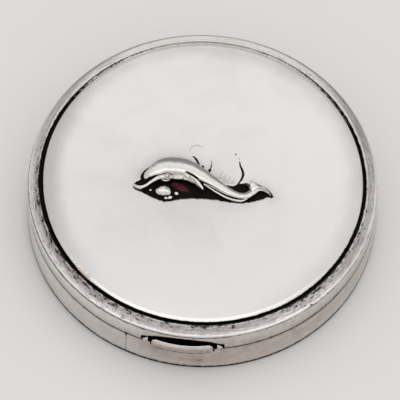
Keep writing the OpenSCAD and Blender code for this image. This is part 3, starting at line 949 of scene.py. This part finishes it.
# dark ground round the dolphin: partly oxide, partly painted shadow and reflection of the dolphin
DARK_GROUND = [(-10.0, -2.35), (-8.95, -3.15), (-7.95, -3.75), (-6.6, -4.3), (-5.1, -4.7),
               (-4.2, -4.45), (-2.8, -3.95), (-0.95, -3.65), (0.6, -3.5), (2.2, -3.5),
               (3.8, -3.55), (4.75, -3.55), (6.3, -3.4), (7.85, -3.0), (9.2, -2.35), (10.15, -1.7),
               (9.4, -1.25), (8.5, -0.95), (7.5, -1.7), (5.5, -2.6), (3.5, -2.2), (1.5, -1.2),
               (-1.0, -0.4), (-4.0, 0.0), (-6.2, -0.1), (-7.4, -0.9), (-8.3, -1.35), (-9.2, -1.8)]
DARK_EYE = [(4.5, -0.75), (5.0, -0.45), (5.5, -0.30), (6.1, -0.25), (6.8, -0.45), (6.95, -1.1),
            (6.3, -1.9), (5.2, -1.8), (4.2, -1.5), (3.4, -0.85)]
DARK_BEAK = [(-10.05, -2.35), (-9.6, -1.80), (-9.0, -1.35), (-8.60, -0.75), (-8.25, 0.05),
             (-7.6, 0.75), (-7.4, 0.45), (-7.9, -0.5), (-8.0, -1.0), (-8.4, -2.2), (-9.3, -2.6)]
# chased lines: width, strength, points
CHASED = [
    (0.20, 1.0, [(-1.85, 3.40), (-1.40, 2.98), (-1.08, 2.50), (-0.78, 2.10)]),
    (0.20, 1.0, [(-0.36, 1.98), (-0.10, 1.70)]),
    (0.13, 0.62, [(0.92, 2.95), (0.97, 2.10), (0.85, 1.30)]),
    (0.26, 1.0, [(0.88, 1.62), (0.76, 1.02)]),
    (0.14, 0.50, [(2.76, 1.35), (2.50, 0.65), (2.15, 0.20)]),
    (0.22, 1.05, [(4.98, 3.34), (5.15, 2.70), (5.50, 2.00), (5.72, 1.30), (5.65, 0.65),
                  (5.38, 0.00), (5.05, -0.60)]),
    (0.16, 0.95, [(4.26, 4.62), (4.36, 4.46)]),
    (0.10, 0.62, [(4.86, 4.00), (4.97, 3.74)]),
    (0.13, 0.42, [(-2.48, 4.05), (-2.42, 4.50), (-2.15, 4.95), (-1.65, 5.28), (-1.05, 5.25),
                  (-0.45, 5.05)]),
    (0.15, 0.42, [(3.35, 1.00), (2.95, 0.30)]),
    (0.15, 0.42, [(3.95, 0.50), (3.60, -0.10)]),
]
# soft brown stains: x, y, radius, strength
STAINS = [(2.35, 0.25, 0.45, 0.7), (3.05, -0.10, 0.5, 0.7), (3.75, -0.55, 0.6, 0.8),
          (0.95, 1.5, 0.35, 0.5), (-0.1, 1.75, 0.3, 0.4), (4.35, -0.55, 0.6, 0.8),
          (-8.9, -0.5, 0.7, 0.5)]


ENGRAVED_R = 12.5


def body_outline(x, y):
    """Distance from points on the disc to the foot of the dolphin's body, and the nearest X."""
    best = np.full(len(x), 1e9)
    at = np.zeros(len(x))
    for px, py, w, _ in catmull(BODY, 10):
        d = np.hypot(x - px, y - py) - w / 2
        near = d < best
        best[near] = d[near]
        at[near] = px
    return best, at


def engraving(x, y):
    """Dark ground (oxide and painted shadow), chased and faint lines, depth of cut, painted
    contact shade and distance to the dolphin.
    """
    flat = np.zeros(len(x))
    wob = fbm(np.stack([x, y, flat], 1), 1.6, 3)
    fine_wob = fbm(np.stack([x, y, flat + 1], 1), 5.0, 2)
    ground, lines, faint, cut = (np.zeros(len(x)) for _ in range(4))
    for poly, soft in ((DARK_GROUND, 0.16), (DARK_EYE, 0.25), (DARK_BEAK, 0.22)):
        edge = inside(x, y, poly) + 0.09 * wob + 0.07 * fine_wob
        ground = np.maximum(ground, smooth(-soft, soft, edge))
    for width, strength, pts in CHASED:
        d, t = line_distance(x, y, catmull(pts, 6) if len(pts) > 2 else pts)
        w = width * (0.40 + 0.70 * np.sin(np.pi * np.clip(t, 0.05, 0.95)))
        m = smooth(w * 1.25, w * 0.35, d + 0.02 * fine_wob)
        if strength > 0.5:
            lines = np.maximum(lines, m * strength)
        else:
            faint = np.maximum(faint, m)
        cut = np.maximum(cut, smooth(w * 1.6, 0.0, d) * strength)
    gap, at = body_outline(x, y)
    snout = smooth(-6.6, -7.8, at)
    # painted contact shade, partly oxide: a dark line round the dolphin's foot on the disc
    contact_shade = smooth(0.40 + 0.20 * snout, 0.14 + 0.06 * snout, gap + 0.06 * wob + 0.05 * fine_wob)
    contact_shade *= 0.46 + 0.60 * smooth(-0.8, 1.0, at) + 0.60 * snout
    return ground, lines, faint, cut, contact_shade, gap


def disc_shape(v, n_top):
    """Sinks the engraving into the disc's points, and gives their masks."""
    a, r, _ = cylindrical(v)
    x, y = v[:, 0], v[:, 1]
    top = np.arange(len(v)) < n_top
    i = np.where(top & (r < ENGRAVED_R))[0]
    ground, lines, faint, cut, contact_shade, gap = engraving(x[i], y[i])
    v[i, 2] -= 0.10 * ground + 0.06 * cut
    v[:, 2] += (top * 0.052 * lobe(a, 92, 75) * smooth(DISC_R - 0.62, DISC_R - 0.42, r)
                * (v[:, 2] > LEDGE_Z + 0.25))
    z = v[:, 2]

    dark = np.zeros(len(v))
    dark[i] = np.maximum.reduce([ground, lines, contact_shade])
    edge = top & (r > DISC_R - 0.32)
    rim = smooth(DISC_R - 0.10, DISC_R - 0.01, r) * smooth(DISC_EDGE + 0.02, DISC_EDGE - 0.10, z)
    # oxide and painted shade on the disc's rim by the groove, heaviest in front and on the left
    near_side = np.clip(1.1 * lobe(a, -100, 42) + 0.75 * lobe(a, -168, 36)
                        + 0.6 * lobe(a, -25, 30), 0, 1)
    near_side *= 1 - 0.85 * lobe(a, BROWN_SPOT, 4)
    rim = np.maximum(rim, near_side * smooth(DISC_R - 0.30, DISC_R - 0.08, r))
    dark = np.where(edge | (~top & (r > DISC_R - 0.05)),
                    np.clip(rim * (0.25 + 0.9 * groove_strength(a)), 0, 1), dark)
    dark = np.where(~top & (r < DISC_R - 0.05), 0.10, dark)

    pit = np.where(top, 0.02, 0.3)
    pit = np.where(top & (r > 20), 0.03 + 0.08 * lobe(a, -150, 40), pit)

    spot = lobe(a, BROWN_SPOT, 4.5) * smooth(DISC_R - 0.9, DISC_R - 0.3, r)
    warm = np.where(top & (r > DISC_R - 0.9), spot, 0.0)
    warm = np.maximum(warm, np.where(edge, 0.25 * (1 - lobe(a, 90, 60)), 0.0))
    stains = np.maximum.reduce([k * np.exp(-((x[i] - sx) ** 2 + (y[i] - sy) ** 2) / sr ** 2)
                                for sx, sy, sr, k in STAINS])
    warm[i] = np.maximum(warm[i], 0.80 * stains)

    # painted shade: a soft grey cloud round the dolphin and a grey halo close to its outline; and
    # a grey band along the rim except behind
    cloud = np.exp(-(((x + 2.2) / 11.0) ** 2 + ((y + 3.4) / 8.5) ** 2) ** 0.9)
    shade_near_dolphin = np.zeros(len(v))
    shade_near_dolphin[i] = np.exp(-np.maximum(gap, 0) / 0.9)
    border = smooth(19.5, 23.2, r) * (0.85 - 0.40 * lobe(a, 105, 45) + 1.1 * lobe(a, 180, 38)
                                      + 0.35 * lobe(a, 25, 35) - 0.6 * lobe(a, -100, 45))
    haze = np.clip(0.40 * cloud + 0.62 * shade_near_dolphin + 0.46 * border + 0.05
                   + 0.12 * lobe(a, 180, 60) * smooth(4, 20, r), 0, 1)
    haze[i] = np.maximum(haze[i], 0.80 * faint)
    return dark, pit, warm, np.where(top, haze, 0.35)


def worn_dome(r):
    """The dome turns down a little more towards its rim."""
    return float(dome_z(r, 0.0)) - 0.12 * float(smooth(20.4, 25.4, r))


BEVEL_R = 0.26
bevel_z = worn_dome(DISC_R - 0.30) - 0.062
disc_r = np.concatenate([np.linspace(0, 12.3, 128), np.linspace(12.7, 22.6, 26)])
disc_top = [(r, worn_dome(r)) for r in disc_r]
disc_top += [(DISC_R - 0.64, worn_dome(DISC_R - 0.64)),
             (DISC_R - 0.54, worn_dome(DISC_R - 0.54) - 0.010), (DISC_R - 0.41, bevel_z + 0.016)]
disc_top += arc(DISC_R - BEVEL_R, bevel_z - BEVEL_R + 0.004, BEVEL_R, BEVEL_R + 0.012, 78, 0, 9)
disc_top += [(DISC_R, DISC_EDGE - 0.4), (DISC_R, LEDGE_Z)]
disc_low = [(r, float(dome_z(r, 0.0)) - 0.65) for r in np.linspace(0, LEDGE_R - 1.0, 24)]
disc_low += [(LEDGE_R, LEDGE_Z), (DISC_R - 0.02, LEDGE_Z)]
v, f, n_top = closed_disc(disc_top, disc_low, 640)
masks = disc_shape(v, n_top)
add_mesh("lid_disc_domed", v, f, "lid", SILVER_DISC, "lid_disc", 55, *masks)

# ---- dolphin ----

def lifted(stations, steps, lift=0.30, sink=0.12):
    """Path of a sweep that stands on the disc: x, y, full width, height."""
    s = catmull(stations, steps)
    z0 = dome_z(s[:, 0], s[:, 1])
    h = np.maximum(s[:, 3], 0.02)
    mid = z0 + lift * h
    return np.stack([s[:, 0], s[:, 1], mid, np.maximum(s[:, 2] / 2, 0.01), h * (1 - lift),
                     lift * h + sink], 1)


def cast_piece(name, shape, node, dark, pit=0.0, warm=0.0, haze=0.0):
    """One cast form of the relief."""
    add_mesh(name, *shape, "lid", SILVER_CAST, node, 60, dark, pit, warm, haze)


FIN_LINE = [(-2.95, -0.10), (-2.25, -0.22), (-1.50, -0.48), (-0.85, -0.82), (-0.45, -1.10)]
BODY_SPOT = [(8.16, -0.58), (8.62, -0.72)]


def cast_noise(v, amount, scale=1.1):
    """Slight unevenness of a hand-finished casting, along the height."""
    out = v.copy()
    out[:, 2] += amount * fbm(v, scale, 3)
    return out


AROUND_BODY = 160
v, f = tube(lifted(BODY, 26), AROUND_BODY, crowned=True)
across = np.cos(2 * np.pi * (np.arange(len(v)) % AROUND_BODY) / AROUND_BODY)
v = cast_noise(v, 0.012)
x = v[:, 0]
z_rel = v[:, 2] - dome_z(x, v[:, 1])
d_fin, t_fin = line_distance(x, v[:, 1], catmull(FIN_LINE, 6))
d_spot, _ = line_distance(x, v[:, 1], BODY_SPOT)
fin_line = smooth(0.24, 0.09, d_fin) * np.sin(np.pi * np.clip(t_fin, 0.06, 0.94)) ** 0.6
tail_side = smooth(0.0, 0.8, x) * smooth(7.6, 6.8, x)
# painted shade, with oxide in creases: dark at the foot on the disc, along the far back edge and
# low on the tail's sides; the fin line and spot are oxide
dark = np.maximum.reduce([smooth(0.20, 0.04, z_rel),
                          0.62 * smooth(0.955, 0.995, across) * (z_rel > 0.1),
                          fin_line * (z_rel > 0.35),
                          0.9 * smooth(0.15, 0.05, d_spot),
                          tail_side * smooth(0.46, 0.34, z_rel)])
# painted shade: the back side of the body, facing away, is grey
grey_film_and_shade = smooth(0.35, 0.97, across) * (0.55 + 0.35 * smooth(-5.0, -8.0, x))
cast_piece("dolphin_body_cast", (v, f), "dolphin_body", dark, 0.12, 0.1, grey_film_and_shade)

# rows: x, y, z of the middle, half width, height, depth
JAW = [(-10.02, -2.40, 11.20, 0.06, 0.05, 0.20), (-9.84, -2.62, 11.26, 0.15, 0.13, 0.35),
       (-9.42, -2.86, 11.32, 0.20, 0.18, 0.45), (-8.80, -2.97, 11.38, 0.22, 0.20, 0.5),
       (-8.15, -2.70, 11.45, 0.22, 0.21, 0.5), (-7.40, -2.02, 11.55, 0.22, 0.22, 0.5),
       (-6.60, -1.40, 11.68, 0.29, 0.26, 0.5), (-5.90, -1.06, 11.74, 0.32, 0.26, 0.5),
       (-5.25, -0.98, 11.72, 0.34, 0.22, 0.5), (-4.60, -0.86, 11.68, 0.34, 0.20, 0.4),
       (-3.80, -0.76, 11.66, 0.42, 0.20, 0.4), (-2.90, -0.68, 11.66, 0.44, 0.20, 0.4),
       (-1.95, -0.88, 11.62, 0.36, 0.20, 0.4), (-1.20, -1.36, 11.50, 0.14, 0.10, 0.3)]
CHIN = [(-5.95, -1.32, 11.46, 0.05, 0.05, 0.1), (-5.60, -1.50, 11.52, 0.12, 0.12, 0.2),
        (-5.20, -1.52, 11.56, 0.14, 0.14, 0.2), (-4.86, -1.34, 11.60, 0.12, 0.12, 0.2),
        (-4.72, -1.08, 11.66, 0.05, 0.06, 0.1)]
VENTRAL = [(0.10, -1.18, 11.22, 0.04, 0.04, 0.1), (0.50, -1.46, 11.26, 0.10, 0.12, 0.3),
           (1.32, -1.90, 11.26, 0.13, 0.14, 0.3), (2.42, -2.46, 11.24, 0.15, 0.15, 0.3),
           (3.73, -3.04, 11.22, 0.15, 0.15, 0.3), (5.01, -3.30, 11.20, 0.15, 0.15, 0.3),
           (6.09, -3.26, 11.20, 0.14, 0.14, 0.3), (6.95, -2.72, 11.20, 0.04, 0.04, 0.2)]


def dark_below(v, depth=0.22, over=0.10):
    """Oxide and painted shade low down on a small form, where polishing can't reach and shade
    falls.
    """
    z = v[:, 2] - dome_z(v[:, 0], v[:, 1])
    return smooth(depth + over, depth, z)


v, f, part = joined([tube(catmull(JAW, 26), 64), tube(catmull(CHIN, 14), 32),
                     tube(catmull(VENTRAL, 22), 40)])
v = cast_noise(v, 0.035, 2.2)
n = fbm(v, 3.4)
belly = (part == 0) * smooth(-5.0, -4.4, v[:, 0])
dark = np.maximum(dark_below(v, np.where(part == 2, 0.12, 0.30), 0.12),
                  0.52 * smooth(0.05, 0.45, n) * belly)
v[:, 2] += 0.03 * n * belly
cast_piece("dolphin_jaw_cast", (v, f), "dolphin_jaw", dark, 0.2, 0.1 + 0.35 * belly, 0.45 * belly)

FIN = [(-2.95, -0.30, 12.00, 0.06, 0.05, 0.2), (-2.40, -0.50, 12.08, 0.24, 0.15, 0.3),
       (-1.70, -0.82, 12.06, 0.34, 0.18, 0.35), (-1.00, -1.24, 11.92, 0.36, 0.18, 0.35),
       (-0.35, -1.74, 11.72, 0.30, 0.15, 0.3), (0.15, -2.20, 11.48, 0.19, 0.12, 0.25),
       (0.46, -2.50, 11.34, 0.04, 0.04, 0.1)]
RIB = [(-2.10, -0.52, 12.20, 0.03, 0.02, 0.1), (-1.35, -0.88, 12.16, 0.10, 0.08, 0.1),
       (-0.60, -1.40, 11.96, 0.10, 0.07, 0.1), (0.10, -2.04, 11.62, 0.03, 0.02, 0.1)]
RIB_SHADE = [(-2.0, -0.80), (-1.2, -1.28), (-0.45, -1.90), (0.1, -2.35)]
v, f, part = joined([tube(catmull(FIN, 22), 56), tube(catmull(RIB, 14), 24)])
v = cast_noise(v, 0.02, 2.4)
d_rib, _ = line_distance(v[:, 0], v[:, 1], RIB_SHADE)
dark = np.maximum(dark_below(v, 0.50, 0.14), 0.9 * smooth(0.10, 0.03, d_rib) * (part == 0))
cast_piece("dolphin_fin_cast", (v, f), "dolphin_fin", dark, 0.15, 0.1)

# flukes: a crowned leaf between an outer and an inner edge
OUTER = [(5.78, -0.46, 11.30), (5.98, -0.22, 11.42), (6.40, -0.06, 11.52), (6.98, -0.02, 11.58),
         (7.64, -0.18, 11.58), (8.32, -0.48, 11.55), (9.02, -0.82, 11.48), (9.72, -1.26, 11.35),
         (10.22, -1.80, 11.15)]
INNER = [(5.80, -0.50, 11.28), (6.10, -0.44, 11.35), (6.46, -0.46, 11.38), (6.82, -0.78, 11.40),
         (7.02, -1.34, 11.42), (7.36, -1.80, 11.42), (8.25, -1.22, 11.36), (9.25, -1.30, 11.26),
         (10.22, -1.84, 11.12)]
NICK = [(8.12, -0.50), (8.40, -0.62), (8.66, -0.74)]


def leaf(outer, inner, steps, crown, thick, cols):
    """A lens-shaped plate between two edges, crowned above and thick below."""
    loops = []
    for a, b in zip(catmull(outer, steps), catmull(inner, steps)):
        w = np.linalg.norm(a[:2] - b[:2])
        loop = []
        for k in range(cols):
            q = 2 * math.pi * k / cols
            up = math.sin(q)
            swell = min(crown, w * 0.30) if up > 0 else min(thick, 0.1 + w * 0.5)
            loop.append(b + (a - b) * (0.5 + 0.5 * math.cos(q)) + np.array([0, 0, up * swell]))
        loops.append(loop)
    return skin(loops, flip=True)


v, f = leaf(OUTER, INNER, 20, 0.30, 0.5, 64)
v = cast_noise(v, 0.03, 1.6)
d_nick, _ = line_distance(v[:, 0], v[:, 1], NICK)
d_edge, _ = line_distance(v[:, 0], v[:, 1], [(x, y) for x, y, _ in OUTER[4:]])
v[:, 2] -= 0.10 * smooth(0.30, 0.05, d_nick)
# the nick is oxide; the upper edge is darkened and the outer part of the leaf greyed as painted
# shade
dark = np.maximum.reduce([dark_below(v, 0.28, 0.12), 0.95 * smooth(0.16, 0.05, d_nick),
                          0.75 * smooth(0.10, 0.03, d_edge)])
cast_piece("dolphin_flukes_cast", (v, f), "dolphin_flukes", dark, 0.15, 0.1,
           0.55 * smooth(7.3, 8.2, v[:, 0]))


def bead(middle, radii, n=40, m=24, turn=0.0, uneven=0.02):
    """An uneven rounded drop."""
    rows = []
    for j in range(1, m):
        p = math.pi * j / m
        for i in range(n):
            q = 2 * math.pi * i / n
            rows.append([math.sin(p) * math.cos(q), math.sin(p) * math.sin(q), math.cos(p)])
    v = np.array([[0, 0, 1]] + rows + [[0, 0, -1]]) * radii
    c, s = math.cos(turn), math.sin(turn)
    v = v @ np.array([[c, s, 0], [-s, c, 0], [0, 0, 1]]) + middle
    v += (v - middle) * (uneven * 4 * fbm(v, 1.4, 2))[:, None]
    last, o = len(v) - 1, 1 + (m - 2) * n
    faces = fan_faces(n, m - 1) + [(last, o + (i + 1) % n, o + i) for i in range(n)]
    return v, faces


EYE_X, EYE_Y, EYE_Z = -5.20, -1.00, 12.06
ring_path = np.array([[EYE_X + 0.42 * math.cos(q), EYE_Y + 0.36 * math.sin(q), EYE_Z - 0.14,
                       0.09, 0.12, 0.3] for q in np.linspace(0, 2 * math.pi, 48)])
v, f, part = joined([bead((EYE_X, EYE_Y, EYE_Z - 0.04), (0.25, 0.22, 0.20), 36, uneven=0.0),
                     tube(ring_path, 20),
                     bead((EYE_X, EYE_Y, EYE_Z - 0.22), (0.42, 0.36, 0.16), 36, 16, uneven=0.0)])
z = v[:, 2]
# oxide and painted shade: the eye and its ring are dark below their middle, the socket under them
# all dark
dark = np.select([part == 0, part == 1], [smooth(EYE_Z + 0.02, EYE_Z - 0.10, z),
                                          smooth(EYE_Z - 0.12, EYE_Z - 0.30, z)], 1.0)
cast_piece("dolphin_eye_cast", (v, f), "dolphin_eye", dark)

v, f = bead((-5.40, -3.05, 11.12), (1.18, 0.80, 0.56), 64, 40, 0.06, 0.035)
cast_piece("drop_large_cast", (v, f), "drop_large", dark_below(v, 0.10, 0.14), 0.12)
# middle, radii, turn, unevenness
SMALL_DROPS = [((-3.54, -3.22, 11.05), (0.35, 0.31, 0.28), 0.0, 0.04),
               ((-4.38, -3.98, 11.04), (0.40, 0.26, 0.26), 0.45, 0.05),
               ((-4.98, -4.14, 11.02), (0.28, 0.22, 0.22), 0.0, 0.04),
               ((-7.36, -3.02, 10.86), (0.20, 0.16, 0.15), 0.0, 0.05)]
v, f, _ = joined([bead(at, radii, turn=turn, uneven=uneven)
                  for at, radii, turn, uneven in SMALL_DROPS])
cast_piece("drops_small_cast", (v, f), "drops_small", dark_below(v, 0.03, 0.1), 0.12)

# ---- floor ----

def floor_material():
    g = Surface("studio_paper")
    pale, dim = (0.90, 0.888, 0.88), (0.885, 0.873, 0.868)
    g.set("Base Color", g.blend(g.span(g.noise(9.0, 4.0, 0.5), 0.3, 0.7), rgb(dim), rgb(pale)))
    g.set("Roughness", 0.85)
    g.set("Specular IOR Level", 0.2)
    g.bump(g.noise(1800.0, 3.0, 0.6), 0.05, 0.0001)
    return g.mat


FLOOR = 3.0  # half its side, in metres
floor_mesh = bpy.data.meshes.new("floor")
floor_mesh.from_pydata([(-FLOOR, -FLOOR, 0), (FLOOR, -FLOOR, 0), (FLOOR, FLOOR, 0),
                        (-FLOOR, FLOOR, 0)], [], [(0, 1, 2, 3)])
floor_mesh.materials.append(floor_material())
floor = bpy.data.objects.new("floor", floor_mesh)
bpy.context.scene.collection.objects.link(floor)

# ---- light: a pale studio, brightest overhead and behind, greyer near the horizon ----

world = bpy.data.worlds.new("studio")
bpy.context.scene.world = world
world.use_nodes = True
w = Nodes(world.node_tree)
x, y, z = w.split(w.add("ShaderNodeTexCoord").outputs["Generated"])

# brightness from the back horizon (0 degrees) over the top to the front horizon (180)
SKY = [(0, 0.82), (8, 0.80), (14, 0.34), (18, 0.26), (33, 0.27), (39, 0.46), (45, 0.76),
       (50, 0.87), (58, 0.84), (72, 0.80), (79, 0.92), (87, 1.14), (102, 1.15), (111, 0.88),
       (121, 0.70), (150, 0.62), (166, 0.52), (180, 0.50)]
SKY_PEAK = 1.2
ramp = w.add("ShaderNodeFloatCurve")
curve = ramp.mapping.curves[0]
for k, (deg, value) in enumerate(SKY):
    spot = (deg / 180.0, value / SKY_PEAK)
    if k in (0, len(SKY) - 1):
        curve.points[0 if k == 0 else -1].location = spot
    else:
        curve.points.new(*spot)
ramp.mapping.update()
w.put(ramp.inputs["Value"], w.math("DIVIDE", w.math("ARCTAN2", z, y), math.pi))
level = Value(w, ramp.outputs[0]) * SKY_PEAK
# left and right of the box the sky is even
aside = w.span(w.math("ABSOLUTE", x), 0.35, 0.85)
level = level * w.math("SUBTRACT", 1.0, aside) + w.span(x, -1.0, 1.0, 0.58, 0.70) * aside
sky = w.add("ShaderNodeBackground")
sky.inputs["Color"].default_value = (1.0, 0.99, 0.985, 1.0)
w.put(sky.inputs["Strength"], level)
w.put(w.add("ShaderNodeOutputWorld").inputs[0], sky.outputs[0])

lamp = bpy.data.lights.new("overhead", "AREA")
lamp.shape = "RECTANGLE"
lamp.size, lamp.size_y = 0.9, 0.7
lamp.energy = 1.6
overhead = bpy.data.objects.new("overhead", lamp)
bpy.context.scene.collection.objects.link(overhead)
overhead.location = (0.10, 0.35, 1.3)
overhead.rotation_euler = (-overhead.location).to_track_quat("-Z", "Y").to_euler()
overhead.visible_glossy = False

# ---- camera ----

CAM_DIST = 0.900
CAM_EL = math.radians(60.68)
CAM_AZ = math.radians(4.5)
CAM_ROLL = 0.0418
AIM_X, AIM_Y = -0.507 * MM, 2.375 * MM
LENS = 550.5
target = Vector((AIM_X, AIM_Y, 0.0))
eye = CAM_DIST * Vector((math.cos(CAM_EL) * math.sin(CAM_AZ),
                         -math.cos(CAM_EL) * math.cos(CAM_AZ), math.sin(CAM_EL)))
look = (target - eye).normalized()
right = look.cross(Vector((0, 0, 1))).normalized()
upward = right.cross(look)
c, s = math.cos(CAM_ROLL), math.sin(CAM_ROLL)
right, upward = c * right + s * upward, -s * right + c * upward
cam_data = bpy.data.cameras.new("camera")
cam_data.lens = LENS
cam_data.sensor_width = 36.0
cam_data.clip_start, cam_data.clip_end = 0.01, 20.0
cam = bpy.data.objects.new("camera", cam_data)
bpy.context.scene.collection.objects.link(cam)
rot = Matrix((right, upward, -look)).transposed()
cam.matrix_world = Matrix.Translation(eye) @ rot.to_4x4()
bpy.context.scene.camera = cam
bpy.context.scene.view_settings.view_transform = "Standard"
bpy.context.scene.view_settings.look = "None"
